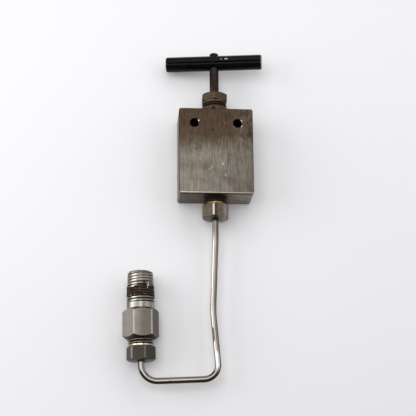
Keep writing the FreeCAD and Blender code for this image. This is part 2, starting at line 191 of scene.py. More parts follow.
def threaded_rod(low, high, low_radius, high_radius, radius=thread_radius, pitch=thread_pitch,
                 depth=thread_depth, taper=0.0, crest=0.12):
    """Return a rod on the Y axis with a right-handed screw thread, its ends turned down to a chamfer.

    low_radius and high_radius are the rod's radii at its two flat ends, taper is how much the
    radius shrinks for each millimetre of height, and crest is the flat share of each turn."""
    steps = 72
    root = radius - depth
    start = low - 1.5 * pitch
    tooth = ((root, 0.0), (root, 0.06), (radius, 0.5 - crest / 2), (radius, 0.5 + crest / 2), (root, 0.94),
             (root, 1.0))
    outline = [(reach, start + share * pitch) for reach, share in tooth]
    turns = math.ceil((high - low) / pitch) + 3
    shape = spun(outline, False, dvec=(0, pitch / steps, 0), angle=math.tau * turns, steps=steps * turns)
    bmesh.ops.remove_doubles(shape, verts=shape.verts, dist=same_point)
    for vert in shape.verts:
        reach = math.hypot(vert.co.x, vert.co.z)
        height = vert.co.y
        chamfer = min(low_radius + height - low, high_radius + high - height)
        wanted = min(reach - taper * (height - low), max(chamfer, 0.3 * root))
        vert.co.x *= wanted / reach
        vert.co.z *= wanted / reach
    trimmed(shape, Vector((0, low, 0)), Vector((0, -1, 0)))
    trimmed(shape, Vector((0, high, 0)), Vector((0, 1, 0)))
    bmesh.ops.recalc_face_normals(shape, faces=shape.faces)
    return shape


def solid(name, shape):
    """Make an object of a bmesh, still in millimetres."""
    mesh = bpy.data.meshes.new(name)
    shape.to_mesh(mesh)
    shape.free()
    return set_out(name, mesh)


def joined(first, second, operation):
    """Weld second onto first with UNION, or cut it out of first with DIFFERENCE."""
    change = first.modifiers.new("joint", "BOOLEAN")
    change.operation = operation
    change.solver = "EXACT"
    change.object = second
    graph = bpy.context.evaluated_depsgraph_get()
    first.data = bpy.data.meshes.new_from_object(first.evaluated_get(graph))
    first.modifiers.clear()
    bpy.data.objects.remove(second)


def welded(first, shape):
    """Weld a bmesh onto an object."""
    joined(first, solid("part", shape), "UNION")


def carved(first, shape, place=Matrix.Identity(4)):
    """Cut a bmesh out of an object, after moving it to its place."""
    bmesh.ops.transform(shape, matrix=place, verts=shape.verts)
    joined(first, solid("cutter", shape), "DIFFERENCE")


def settled(made, finish, place, crease=32.0):
    """Merge a shape's slivers, scale it to metres, place it, shade it smooth between its edges and
    give it its finish."""
    shape = bmesh.new()
    shape.from_mesh(made.data)
    bmesh.ops.remove_doubles(shape, verts=shape.verts, dist=same_point)
    bmesh.ops.dissolve_degenerate(shape, edges=shape.edges, dist=same_point)
    shape.to_mesh(made.data)
    shape.free()
    made.data.transform(place @ Matrix.Scale(mm, 4))
    made.data.shade_smooth()
    made.data.set_sharp_from_angle(angle=math.radians(crease))
    made.data.materials.append(finish)


def port_cutter(mouth, depth):
    """Return the space of a tube port: its mouth's bore, counterbore, cone, and orifice down to a depth."""
    cone_start = port_thread_depth + counterbore_depth
    cone_end = cone_start + (counterbore_radius - orifice_radius) / cone_slope
    return turned([(0, -past), (mouth, -past), (mouth, port_thread_depth),
                   (counterbore_radius, port_thread_depth), (counterbore_radius, cone_start),
                   (orifice_radius, cone_end), (orifice_radius, depth), (0, depth)])


shape = bmesh.new()
middle = Matrix.Translation((0, (block_top + block_low.y) / 2, 0))
bmesh.ops.create_cube(shape, size=1.0, matrix=middle @ Matrix.Diagonal((*block_size, 1.0)))
upright = [edge for edge in shape.edges if abs(edge.verts[0].co.z - edge.verts[1].co.z) > past]
rounded(shape, upright, corner_radius, segments=8)
rims = [edge for edge in shape.edges if abs(edge.verts[0].co.z - edge.verts[1].co.z) < past]
rounded(shape, rims, edge_break, segments=3)
block = solid("valve_block", shape)

root_radius = boss_radius + boss_root
outline = [(0, block_top - past), (root_radius, block_top - past)]
outline += arc((root_radius, block_top + boss_root - 0.02), boss_root, 270, 180)
outline += [(boss_radius, block_high.y - boss_edge), (boss_radius - boss_edge, block_high.y)]
outline += [(0, block_high.y)]
welded(block, turned(outline, steps=128))

seat_top = seat_height + (chamber_radius - orifice_radius) / cone_slope
bore_radius = thread_radius + thread_gap
outline = [(0, seat_height - past), (orifice_radius, seat_height - past), (orifice_radius, seat_height)]
outline += [(chamber_radius, seat_top), (chamber_radius, chamber_top), (needle_hole_radius, chamber_top)]
outline += [(needle_hole_radius, packing_floor), (packing_bore_radius, packing_floor)]
outline += [(packing_bore_radius, packing_top), (bore_radius, packing_top)]
outline += [(bore_radius, block_high.y + past), (0, block_high.y + past)]
carved(block, turned(outline, steps=128))
inlet_depth = seat_height - block_low.y
carved(block, port_cutter(bore_radius, inlet_depth), Matrix.Translation((0, block_low.y, 0)))

outlet_y = mounts["outlet_port"]["pos_m"][1] / mm
outlet_place = Matrix.Translation((block_high.x, outlet_y, 0)) @ Matrix.Rotation(math.pi / 2, 4, "Z")
carved(block, port_cutter(thread_root - thread_gap, block_size.x / 2), outlet_place)
carved(block, threaded_rod(-past, port_thread_depth, thread_radius, thread_root), outlet_place)
mouth_flare = thread_radius + 3 * thread_gap
carved(block, turned([(0, -past), (mouth_flare + past, -past), (thread_root, thread_depth),
                      (0, thread_depth)]), outlet_place)

panel_y = mounts["panel_holes"]["pos_m"][1] / mm
half_spacing = mounts["panel_holes"]["dims"]["spacing_x_mm"] / 2
half_depth = block_size.z / 2
flared = panel_hole_radius + hole_edge + past
outline = [(0, -half_depth - past), (flared, -half_depth - past), (panel_hole_radius, hole_edge - half_depth)]
outline += [(panel_hole_radius, half_depth - hole_edge), (flared, half_depth + past), (0, half_depth + past)]
for hole_x in (-half_spacing, half_spacing):
    carved(block, turned(outline, steps=64), Matrix.Translation((hole_x, panel_y, 0)) @ tipped_forward)

lock_place = Matrix.Translation((0, block_top + lock_hole_height, 0)) @ Matrix.Rotation(lock_turn, 4, "Y")
lock_place = lock_place @ tipped_forward
carved(block, plug(0, root_radius, lock_hole_radius, steps=32), lock_place)

for nick_x, nick_y, nick_size in nick_spots:
    dent = bmesh.new()
    bmesh.ops.create_icosphere(dent, subdivisions=2, radius=1.0)
    shaped = Matrix.Diagonal((0.6 * nick_size, nick_size, 2 * nick_depth, 1.0))
    carved(block, dent, Matrix.Translation((nick_x, nick_y, half_depth + nick_depth)) @ shaped)


def node(kind, inputs=None, material=None, **settings):
    """Add a shader node to a material, or beside the outputs that feed it, and set and feed it."""
    inputs = inputs or {}
    outputs = [value for value in inputs.values() if isinstance(value, bpy.types.NodeSocket)]
    tree = material.node_tree if material else outputs[0].id_data
    made = tree.nodes.new("ShaderNode" + kind)
    for name, value in settings.items():
        setattr(made, name, value)
    for name, value in inputs.items():
        if isinstance(value, bpy.types.NodeSocket):
            tree.links.new(value, made.inputs[name])
        else:
            made.inputs[name].default_value = value
    return made


def surface_point(material):
    """Return the place of a point of the surface, in metres, as the piece lies in the valve."""
    return node("TexCoord", material=material).outputs["Object"]


def measures(point):
    """Return how far across, how high and how far forward a point is."""
    return node("SeparateXYZ", {0: point}).outputs[:]


def patches(point, size, low=0.3, high=0.7, stretch=(1, 1, 1), detail=3.0, shift=0.0):
    """Return a factor from 0 to 1 that wanders over the surface in patches of a size in millimetres."""
    scale = [1.0 / (size * mm * share) for share in stretch]
    spot = node("Mapping", {"Vector": point, "Scale": scale, "Location": (shift, shift, shift)})
    cloud = node("TexNoise", {"Vector": spot.outputs[0], "Scale": 1.0, "Detail": detail})
    return node("MapRange", {"Value": cloud.outputs[0], "From Min": low, "From Max": high}).outputs[0]


def math_of(operation, first, second=0.0):
    """Return the outcome of one sum on two factors."""
    return node("Math", {0: first, 1: second}, operation=operation).outputs[0]


def scaled(factor, share):
    """Return a factor times a number or another factor."""
    return math_of("MULTIPLY", factor, share)


def ramp(value, low, high, at_low=0.0, at_high=1.0, unit=mm):
    """Return a factor that goes smoothly from at_low to at_high as a length in metres goes from low
    to high, which are in millimetres, or as a plain number does where the unit is 1."""
    inputs = {"Value": value, "From Min": low * unit, "From Max": high * unit, "To Min": at_low,
              "To Max": at_high}
    return node("MapRange", inputs, interpolation_type="SMOOTHSTEP").outputs[0]


def between(value, low, high, soft=0.1):
    """Return a factor that is 1 where a length in metres lies between two in millimetres."""
    return scaled(ramp(value, low - soft, low + soft), ramp(value, high - soft, high + soft, 1.0, 0.0))


def away_from(point, spot):
    """Return how far a surface point is, in metres, from a spot in millimetres."""
    return node("VectorMath", {0: point, 1: Vector(spot) * mm}, operation="DISTANCE").outputs["Value"]


def near_spot(point, spot, radius):
    """Return a factor that is 1 at a spot given in millimetres and 0 beyond a radius from it."""
    return ramp(away_from(point, spot), 0.6 * radius, radius, 1.0, 0.0)


def mixed_colour(factor, *tones):
    """Return the first tone where the factor is 0 and the second where it is 1. A tone is an output,
    or red, green and blue from 0 to 255 as they look on a screen."""
    inputs = {0: factor}
    for slot, tone in zip((6, 7), tones):
        if isinstance(tone, tuple):
            screen = Color([part / 255 for part in tone])
            tone = (*screen.from_srgb_to_scene_linear(), 1.0)
        inputs[slot] = tone
    return node("Mix", inputs, data_type="RGBA").outputs[2]


def mixed_value(factor, first, second):
    """Return the first number where the factor is 0 and the second where it is 1."""
    return node("Mix", {0: factor, 2: first, 3: second}, data_type="FLOAT").outputs[0]


def new_finish(name):
    """Make a material with nodes."""
    material = bpy.data.materials.new(name)
    material.use_nodes = True
    return material


def shader_input(owner, name):
    """Return an input of the shader of a material, or of the material that an output belongs to."""
    tree = owner.node_tree if isinstance(owner, bpy.types.Material) else owner.id_data
    return tree.nodes["Principled BSDF"].inputs[name]


def feed(owner, name, value):
    """Give an input of the shader a value or another node's output."""
    socket = shader_input(owner, name)
    if isinstance(value, bpy.types.NodeSocket):
        socket.id_data.links.new(value, socket)
    else:
        socket.default_value = value


def fed(owner, name):
    """Return what feeds an input of the shader now."""
    socket = shader_input(owner, name)
    return socket.links[0].from_socket if socket.is_linked else socket.default_value


def relief(height, depth):
    """Give the surface a fine relief of a depth in millimetres."""
    inputs = {"Height": height, "Distance": depth * mm}
    if isinstance(fed(height, "Normal"), bpy.types.NodeSocket):
        inputs["Normal"] = fed(height, "Normal")
    feed(height, "Normal", node("Bump", inputs).outputs[0])


def steel(name, light, dark, patch, smooth, rough, grain, depth, stretch=(1, 1, 1)):
    """Make bare steel of two tones in soft patches, with grain lines in its tone, gloss and relief."""
    material = new_finish(name)
    feed(material, "Metallic", 1.0)
    cloud = patches(surface_point(material), patch)
    lines = patches(surface_point(material), grain, stretch=stretch)
    share = math_of("ADD", scaled(cloud, 0.4), scaled(lines, 0.6))
    feed(material, "Base Color", mixed_colour(share, dark, light))
    wear = math_of("ADD", scaled(cloud, 0.2), scaled(lines, 0.8))
    feed(material, "Roughness", mixed_value(wear, smooth, rough))
    relief(lines, depth)
    return material


def laid_over(cover, share, tone, roughness, metallic=1.0):
    """Lay a share of another finish over the material in which the cover factor is 1."""
    if share != 1.0:
        cover = scaled(cover, share)
    feed(cover, "Base Color", mixed_colour(cover, fed(cover, "Base Color"), tone))
    feed(cover, "Roughness", mixed_value(cover, fed(cover, "Roughness"), roughness))
    feed(cover, "Metallic", mixed_value(cover, fed(cover, "Metallic"), metallic))


block_steel = steel("ground block steel", (146, 140, 131), (84, 77, 68), patch=6.0,
                    smooth=0.34, rough=0.5, grain=0.5, stretch=(1, 24, 1), depth=0.006)
on_block = surface_point(block_steel)
across, height, forward = measures(on_block)
fine = patches(on_block, 0.3, low=0.35, high=0.65, stretch=(1, 6, 1), detail=4.0, shift=2.0)
laid_over(fine, 0.4, (88, 81, 72), 0.5)
blotch = patches(on_block, 2.4, low=0.5, high=0.7, stretch=(1, 2.5, 1), detail=4.0, shift=7.0)
laid_over(blotch, 0.45, (84, 70, 57), 0.5)

# The brown stain is full above the panel holes, thinner below them, and gone by the lower half.
fingers = patches(on_block, 1.7, low=0.25, high=0.75, stretch=(1, 2.5, 1), detail=5.0)
stain_line = math_of("ADD", height, scaled(fingers, 6.0 * mm))
stain = math_of("ADD", scaled(ramp(stain_line, 4.5, 11.5), 0.5), scaled(ramp(stain_line, 1.0, 8.0), 0.4))
streaks = patches(on_block, 0.6, stretch=(1, 7, 1), detail=5.0, shift=5.0)
brown = mixed_colour(streaks, (56, 43, 33), (86, 69, 54))
laid_over(stain, 1.0, brown, 0.42)
paler = patches(on_block, 1.8, low=0.4, high=0.65, stretch=(1, 1.6, 1), shift=9.0)
laid_over(scaled(ramp(across, 6.0, 14.0), paler), 0.3, (136, 124, 110), 0.42)

# The sawn low face is pale and mottled, paler towards its right, with painted shade under its front edge; the
# top face is dull brown.
low_face = ramp(height, block_low.y + 0.02, block_low.y + 0.1, 1.0, 0.0)
top_face = ramp(height, block_top - 0.1, block_top - 0.02)
low_tone = mixed_colour(ramp(across, 3.0, 9.0), (114, 102, 88), (158, 148, 136))
laid_over(low_face, 0.7, low_tone, 0.6)
mottle = scaled(low_face, patches(on_block, 2.0, low=0.45, high=0.6, detail=4.0, shift=13.0))
laid_over(mottle, 0.4, (84, 66, 46), 0.6)
laid_over(top_face, 0.6, (92, 82, 70), 0.6)
# Painted shade on the low face just under the front edge.
shade_under_edge = scaled(low_face, between(forward, block_high.z - 1.9, block_high.z - 0.3, 0.2))
laid_over(shade_under_edge, 0.9, (26, 21, 17), 0.6)

# Pits, scuffs, the low front edge worn and given a painted highlight, the other front edges darker, painted
# glints at the panel holes' rims, and the nicks of the front.
pits = patches(on_block, 0.5, low=0.7, high=0.76, stretch=(1, 2.5, 1), detail=1.0, shift=3.0)
laid_over(pits, 0.7, (40, 33, 28), 0.7, 0.6)
scuffs = patches(on_block, 0.7, low=0.7, high=0.78, stretch=(1, 1.6, 1), detail=2.0, shift=11.0)
laid_over(scuffs, 0.45, (190, 182, 170), 0.4)
# Painted highlight, with some wear, along the low front edge.
low_edge_wear_and_highlight = scaled(ramp(forward, block_high.z - 0.35, block_high.z - 0.25),
                     between(height, block_low.y + 0.02, block_low.y + 0.6, 0.02))
laid_over(low_edge_wear_and_highlight, mixed_value(streaks, 0.5, 1.0), (196, 187, 174), 0.3)
side_edges = ramp(math_of("ABSOLUTE", across), block_high.x - 0.45, block_high.x - 0.25)
top_edge = between(height, block_top - 0.4, block_top + 0.1, 0.1)
dark_edges = scaled(ramp(forward, block_high.z - 0.5, block_high.z - 0.3),
                    math_of("MAXIMUM", side_edges, top_edge))
laid_over(dark_edges, 0.7, (44, 35, 28), 0.5)
for scuff_x, scuff_y, scuff_size in ((-2.8, -9.1, 1.1), (-3.4, -10.3, 0.9), (5.0, -13.2, 1.0),
                                     (3.4, -7.2, 0.8)):
    wear_and_highlight = near_spot(on_block, (scuff_x, scuff_y, block_high.z), scuff_size)
    wear_and_highlight = scaled(ramp(fine, 0.4, 0.8, unit=1.0), wear_and_highlight)
    laid_over(wear_and_highlight, 0.6, (200, 193, 183), 0.4)
# Painted glints on the rims of the panel holes.
for glint_x, glint_y in ((-9.0, 16.1), (13.1, 16.3), (13.2, 13.4)):
    hole_glint = near_spot(on_block, (glint_x, glint_y, block_high.z), 0.55)
    laid_over(hole_glint, 0.9, (214, 208, 200), 0.3)
for nick_x, nick_y, nick_size in nick_spots:
    grimy = near_spot(on_block, (nick_x, nick_y, block_high.z), 1.5 * nick_size)
    laid_over(grimy, 0.85, (30, 24, 20), 0.8, 0.3)
settled(block, block_steel, stem_place)
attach(block, "valve_body")
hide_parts("body_block")

# The packing gland is a hexagon turned from bar, with a washer face under its head and a straight
# thread that screws into the boss. A few turns show above the boss. It is tarnished golden brown.
gland_thread_showing = 2.95
gland_flare = 0.3
light_edge = 0.15
washer_face_radius = 6.15
washer_face_height = 0.5
wrench_size = 12.7
gland_nose_radius = 4.71
gland_nose_length = 0.8
spindle_thread_radius = 3.175
spindle_radius = 2.38
running_gap = 0.05
spindle_thread_length = 11.4
full_rise = 2.014
lock_screw_length = 2.6
overlap = 0.2
gland_low, gland_high = (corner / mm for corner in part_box("packing_gland"))
spindle_low, spindle_high = (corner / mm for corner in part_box("spindle"))
spindle_thread_top = spindle_low.y + spindle_thread_length
gland_shoulder = spindle_thread_top + full_rise
gland_collar = block_high.y + gland_thread_showing


def hexagon(size, low, high, end_radius, turn=0.0, rounding=0.16, slope=30.0):
    """Return a hexagonal bar on the Y axis with its corners turned down to end_radius at both ends.

    One corner is turned from +Z towards +X by turn degrees, and the long edges are rounded."""
    reach = size / math.sqrt(3) + past
    drop = (reach - end_radius) * math.tan(math.radians(slope))
    shape = turned([(0, low), (end_radius, low), (reach, low + drop), (reach, high - drop),
                    (end_radius, high), (0, high)], steps=144)
    for side in range(6):
        angle = math.radians(turn + 30 + 60 * side)
        outward = Vector((math.sin(angle), 0, math.cos(angle)))
        trimmed(shape, outward * size / 2, outward)
    ridges = [edge for edge in shape.edges if edge.calc_face_angle(0.0) > 0.9
              and abs(edge.verts[0].co.x - edge.verts[1].co.x) < 0.01]
    rounded(shape, ridges, rounding, segments=3)
    bmesh.ops.recalc_face_normals(shape, faces=shape.faces)
    return shape


thread_foot = gland_low.y + gland_nose_length
gland_hex_foot = gland_collar + washer_face_height
gland = solid("hex_gland", hexagon(wrench_size, gland_hex_foot, gland_high.y, washer_face_radius))
welded(gland, plug(gland_collar, gland_hex_foot + 0.25, washer_face_radius, low_edge=light_edge))
welded(gland, threaded_rod(thread_foot, gland_collar + overlap, thread_root, thread_radius))
welded(gland, plug(gland_low.y, thread_foot + overlap, gland_nose_radius))
wide = spindle_thread_radius + running_gap
narrow = spindle_radius + running_gap
carved(gland, turned([(0, gland_low.y - past), (wide, gland_low.y - past), (wide, gland_shoulder),
                      (narrow, gland_shoulder), (narrow, gland_high.y - gland_flare),
                      (narrow + gland_flare + past, gland_high.y + past), (0, gland_high.y + past)]))
dimple_foot = boss_radius - lock_screw_length
carved(gland, plug(dimple_foot, boss_radius, lock_hole_radius, steps=32), lock_place)


def about_axis(point, place):
    """Return how far a point is from the Y axis of a piece's place, and how far along it, in metres."""
    inputs = {"Vector": point, "Location": place.translation, "Rotation": place.to_euler()}
    x, along, z = measures(node("Mapping", inputs, vector_type="TEXTURE").outputs[0])
    flat = node("CombineXYZ", {"X": x, "Z": z})
    return node("VectorMath", {0: flat.outputs[0]}, operation="LENGTH").outputs["Value"], along


gland_steel = steel("tarnished gland steel", (104, 92, 76), (66, 55, 44), patch=1.6,
                    smooth=0.42, rough=0.58, grain=0.3, stretch=(5, 1, 5), depth=0.006)
on_gland = surface_point(gland_steel)
reach, height = about_axis(on_gland, stem_place)
# Grime and painted shade darken the thread between the boss and the gland's washer face, most in its roots.
thread_grime_and_shade = scaled(between(height, block_top, gland_collar - 0.1), ramp(reach, 5.7, 6.2, 1.0, 0.35))
laid_over(thread_grime_and_shade, 0.9, (40, 28, 19), 0.6, 0.7)
ring = between(height, gland_collar, gland_hex_foot, 0.08)
laid_over(ring, 0.8, (148, 116, 78), 0.4)
grime = patches(on_gland, 1.2, low=0.55, high=0.7, detail=4.0)
laid_over(grime, 0.45, (48, 38, 30), 0.6, 0.8)
settled(gland, gland_steel, stem_place)
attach(gland, "valve_body")
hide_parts("packing_gland")

# The lock screw is a small black headless screw with a hexagonal socket. It sits flush in a cross
# hole in the boss and bears on the gland's thread, so that the gland can't turn.
lock_screw_radius = 1.0
lock_socket_size = 0.78
lock_socket_depth = 0.85
lock_screw_top = boss_radius - thread_gap
screw = solid("lock_screw", plug(dimple_foot + thread_gap, lock_screw_top, lock_screw_radius,
                                 high_edge=light_edge, steps=48))
carved(screw, hexagon(lock_socket_size, lock_screw_top - lock_socket_depth, lock_screw_top + past, 0.6,
                      rounding=0.02))
screw.data.transform(lock_place)
black_steel = steel("black oxide steel", (62, 58, 54), (34, 31, 28), patch=0.8, smooth=0.4,
                    rough=0.65, grain=0.1, depth=0.003)
settled(screw, black_steel, stem_place)
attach(screw, "valve_body")
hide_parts("gland_lock_screw")


# The packing around the lower stem is three white fluoroplastic rings between two bronze
# washers. They were cut from rod and are squeezed together by the gland's nose.
def coated(name, first, second, smooth, rough, patch, low=0.3, high=0.7, detail=3.0):
    """Make a finish without metal, of two tones in soft patches."""
    material = new_finish(name)
    cloud = patches(surface_point(material), patch, low, high, detail=detail)
    feed(material, "Base Color", mixed_colour(cloud, first, second))
    feed(material, "Roughness", mixed_value(cloud, smooth, rough))
    return material


def finished(names, material):
    """Give pieces that keep the shape of their solids a finish."""
    for name in names:
        frame["nodes"][name].data.materials.clear()
        frame["nodes"][name].data.materials.append(material)


packing_white = coated("packing white", (226, 224, 218), (242, 241, 238), 0.45, 0.6, patch=1.5)
relief(patches(surface_point(packing_white), 0.15, low=0.4, high=0.6, stretch=(4, 1, 4)), 0.004)
finished(("packing_ring_1", "packing_ring_2", "packing_ring_3"), packing_white)
washer_bronze = steel("washer bronze", (196, 152, 96), (150, 108, 62), patch=1.5, smooth=0.28,
                      rough=0.45, grain=0.1, stretch=(6, 1, 6), depth=0.004)
finished(("packing_washer_lower", "packing_washer_upper"), washer_bronze)

# The lower stem is hard ground steel with a coned tip, and slides without turning. Two half rings
# and a hard washer hold its button head in the foot of the spindle.
ground_steel = steel("ground hard steel", (205, 204, 202), (168, 167, 165), patch=3.0, smooth=0.14,
                     rough=0.28, grain=0.08, stretch=(8, 1, 8), depth=0.002)
finished(("needle_stem", "stem_retainer"), ground_steel)
finished(("thrust_washer",), black_steel)

# The spindle is the upper stem. Its thread turns in the gland, and its long plain shank, oxidised
# dark brown, goes through the handle bar and ends in a small dome above it.
spindle_thread_depth = 0.35
spindle_pitch = 0.907
spindle_socket_radius = 2.3
spindle_socket_depth = 3.8
bar_turn = math.radians(7.68)
pin_radius = 0.8
pin_length = 6.0
pin_inset = 0.25
dome = 0.9
bar_low, bar_high = (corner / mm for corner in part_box("handle_bar"))
bar_y = (bar_low.y + bar_high.y) / 2
bar_radius = (bar_high.y - bar_low.y) / 2
shank_foot = spindle_low.y + 0.6
across_place = Matrix.Rotation(-bar_turn, 4, "Y")
pin_place = across_place @ Matrix.Translation((0, bar_y, 0)) @ tipped_forward

outline = [(0, shank_foot), (spindle_radius, shank_foot), (spindle_radius, spindle_high.y - dome)]
outline += arc((spindle_radius - dome, spindle_high.y - dome), dome, 0, 70)
outline += [(0, spindle_high.y)]
spindle = solid("upper_stem", turned(outline))
spindle_root = spindle_thread_radius - spindle_thread_depth
welded(spindle, threaded_rod(spindle_low.y, spindle_thread_top, spindle_root, spindle_root,
                             spindle_thread_radius, spindle_pitch, spindle_thread_depth))
carved(spindle, plug(spindle_low.y - past, spindle_low.y + spindle_socket_depth, spindle_socket_radius,
                     steps=64))


def pin_hole():
    """Return the space that the cross pin's drill leaves, from behind the bar to inside the spindle."""
    return plug(-bar_radius - past, pin_length + pin_inset - bar_radius, pin_radius + 0.02, steps=48)


carved(spindle, pin_hole(), pin_place)
spindle_steel = steel("oxidised spindle steel", (66, 53, 44), (38, 30, 26), patch=2.2, smooth=0.3,
                      rough=0.5, grain=0.3, stretch=(3, 1, 3), depth=0.006)
on_spindle = surface_point(spindle_steel)
rubs = patches(on_spindle, 1.1, low=0.62, high=0.74, stretch=(1, 4, 1), detail=4.0)
laid_over(rubs, 0.4, (104, 88, 76), 0.3)
across, height = measures(on_spindle)[:2]
# Painted shade darkens the shank towards both its sides.
shaded_sides = ramp(math_of("ABSOLUTE", across), 1.2, 2.1, 0.0, 0.7)
laid_over(shaded_sides, 1.0, (24, 19, 17), 0.45)
# A painted grey highlight on the front of the shank just under the bar.
highlight_under_bar = near_spot(on_spindle, (-0.3, bar_low.y - 1.2, stem_z + spindle_radius), 2.6)
laid_over(highlight_under_bar, 0.4, (58, 56, 55), 0.4)
above_bar = ramp(height, bar_y + 1.0, bar_y + 2.0)
laid_over(above_bar, 0.6, (40, 30, 30), 0.4)
settled(spindle, spindle_steel, stem_place)
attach(spindle, "handle")
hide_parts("spindle")

# The handle bar is rolled from thick plate into a tube whose edges nearly meet in a seam along
# the front. It is dipped in black enamel, which is chipped and has worn off the right end.
bar_wall = 1.6
bar_length = 51.2
bar_end_radius = 1.0
seam_width = 0.5
seam_turn = math.radians(10.7)
seam_lip = 0.28
bar_hole_gap = 0.04

half_seam = seam_width / 2 / bar_radius
half_length = bar_length / 2
inner_radius = bar_radius - bar_wall
end_centre = bar_radius - bar_end_radius
section = [(inner_radius, -half_length), (end_centre, -half_length)]
section += arc((end_centre, bar_end_radius - half_length), bar_end_radius, -90, 0)[1:]
section += [(bar_radius, along) for along in (-16, -8, 0, 8, 16)]
section += arc((end_centre, half_length - bar_end_radius), bar_end_radius, 0, 90)
section += [(inner_radius, half_length)]
shape = spun(section, True, angle=math.tau - 2 * half_seam, steps=120)
bmesh.ops.holes_fill(shape, edges=[edge for edge in shape.edges if edge.is_boundary], sides=0)
bmesh.ops.recalc_face_normals(shape, faces=shape.faces)
lips = [edge for edge in shape.edges if edge.calc_face_angle(0.0) > 1.2
        and all(math.hypot(vert.co.x, vert.co.z) > bar_radius - 0.01 for vert in edge.verts)]
rounded(shape, lips, seam_lip, segments=4)
seam_side = Vector((0, -math.sin(seam_turn), math.cos(seam_turn)))
along_bar = Vector((1, 0, 0))
laid_across = Matrix((seam_side, along_bar, seam_side.cross(along_bar))).transposed().to_4x4()
bar_place = across_place @ Matrix.Translation((0, bar_y, 0)) @ laid_across
bmesh.ops.transform(shape, matrix=bar_place @ Matrix.Rotation(half_seam, 4, "Y"), verts=shape.verts)
bar = solid("t_bar", shape)
carved(bar, plug(bar_low.y - past, bar_high.y + past, spindle_radius + bar_hole_gap))
carved(bar, pin_hole(), pin_place)

black_enamel = coated("black enamel", (6, 6, 9), (12, 12, 16), 0.2, 0.3, patch=5.0, low=0.35,
                      high=0.65)
feed(black_enamel, "Specular IOR Level", 0.11)
on_bar = surface_point(black_enamel)
relief(patches(on_bar, 0.9, low=0.2, high=0.8), 0.012)
dust = patches(on_bar, 0.3, low=0.7, high=0.78, detail=1.0)
laid_over(dust, 0.2, (96, 94, 92), 0.8, 0.0)

# The right end is worn bare with a ragged edge. Each chip is its place along the bar, how far
# round from the seam's front side, and its size.
chips = ((4.0, 22.0, 0.32), (6.3, 25.0, 0.42), (7.2, 24.0, 0.4), (-17.8, 118.0, 0.6), (-9.0, 186.0, 0.8),
         (13.2, 241.0, 0.5), (19.6, 150.0, 0.7), (2.2, 204.0, 0.35))
worn_length = 0.1
ragged_length = 1.1
ragged = node("Mapping", {"Vector": on_bar, "Scale": (900, 900, 900)})
edge_noise = node("TexNoise", {"Vector": ragged.outputs[0], "Scale": 1.0, "Detail": 3.0}).outputs[0]
right_end = (bar_place @ Vector((0, half_length, 0)) + Vector((0, 0, stem_z))) * mm
from_end = node("VectorMath", {0: on_bar, 1: right_end}, operation="SUBTRACT")
out_along = node("VectorMath", {0: from_end.outputs[0], 1: across_place @ along_bar}, operation="DOT_PRODUCT")
worn_to = math_of("ADD", out_along.outputs["Value"], scaled(edge_noise, ragged_length * mm))
bare = math_of("GREATER_THAN", worn_to, -worn_length * mm)
for along, round_bar, size in chips:
    turn = math.radians(round_bar)
    spot = bar_place @ Vector((bar_radius * math.cos(turn), along, bar_radius * math.sin(turn)))
    away = away_from(on_bar, spot + Vector((0, 0, stem_z)))
    chip = math_of("LESS_THAN", away, scaled(edge_noise, 2.0 * size * mm))
    bare = math_of("MAXIMUM", bare, chip)
laid_over(bare, 1.0, (186, 178, 166), 0.38)
relief(math_of("SUBTRACT", 1.0, bare), 0.05)
settled(bar, black_enamel, stem_place)
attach(bar, "handle")
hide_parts("handle_bar")

# The cross pin is a black grooved pin, driven from behind through the bar's rear wall into the
# spindle, so that bar and spindle turn as one.
pin_foot = pin_inset - bar_radius
pin_edge = 0.2
groove_width = 0.25
pin = solid("cross_pin", plug(pin_foot, pin_foot + pin_length, pin_radius, pin_edge, pin_edge, steps=48))
for groove in range(3):
    turn = Matrix.Rotation(groove * math.tau / 3, 4, "Y")
    notch = bmesh.new()
    notch_place = turn @ Matrix.Translation((pin_radius, pin_foot, 0)) @ Matrix.Rotation(math.pi / 4, 4, "Y")
    notch_size = Matrix.Diagonal((groove_width, pin_length, groove_width, 1.0))
    bmesh.ops.create_cube(notch, size=1.0, matrix=notch_place @ notch_size)
    carved(pin, notch)
pin.data.transform(pin_place)
settled(pin, black_steel, stem_place)
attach(pin, "handle")
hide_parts("handle_pin")

# The tube nut is turned from half-inch hexagon bar, with a straight thread that presses the tube's
# coned sleeve into its port. One holds the tube in the block's foot, and a like one is at the connector.
nut_depth = 6.8
nut_collar_height = 0.9
nut_hex_height = 7.1
nut_chamfer_radius = 6.1
tube_hole_radius = 1.7375
countersink_radius = 2.6
inlet_showing = 3.0
inlet_turn = -10.0
inlet_rounding = 0.45


def tube_nut(name, showing, turn, rounding):
    """Return a tube nut with the port's face at height 0, so much thread showing and its hexagon below."""
    hex_top = -showing - nut_collar_height
    hex_foot = hex_top - nut_hex_height
    nut = solid(name, hexagon(wrench_size, hex_foot, hex_top, nut_chamfer_radius, turn, rounding))
    welded(nut, plug(hex_top - 0.25, -showing, washer_face_radius, high_edge=0.2))
    welded(nut, threaded_rod(-showing - overlap, nut_depth, thread_radius, thread_root))
    carved(nut, turned([(0, hex_foot - past), (countersink_radius + past, hex_foot - past),
                        (tube_hole_radius, hex_foot + countersink_radius - tube_hole_radius),
                        (tube_hole_radius, nut_depth + past), (0, nut_depth + past)]))
    return nut


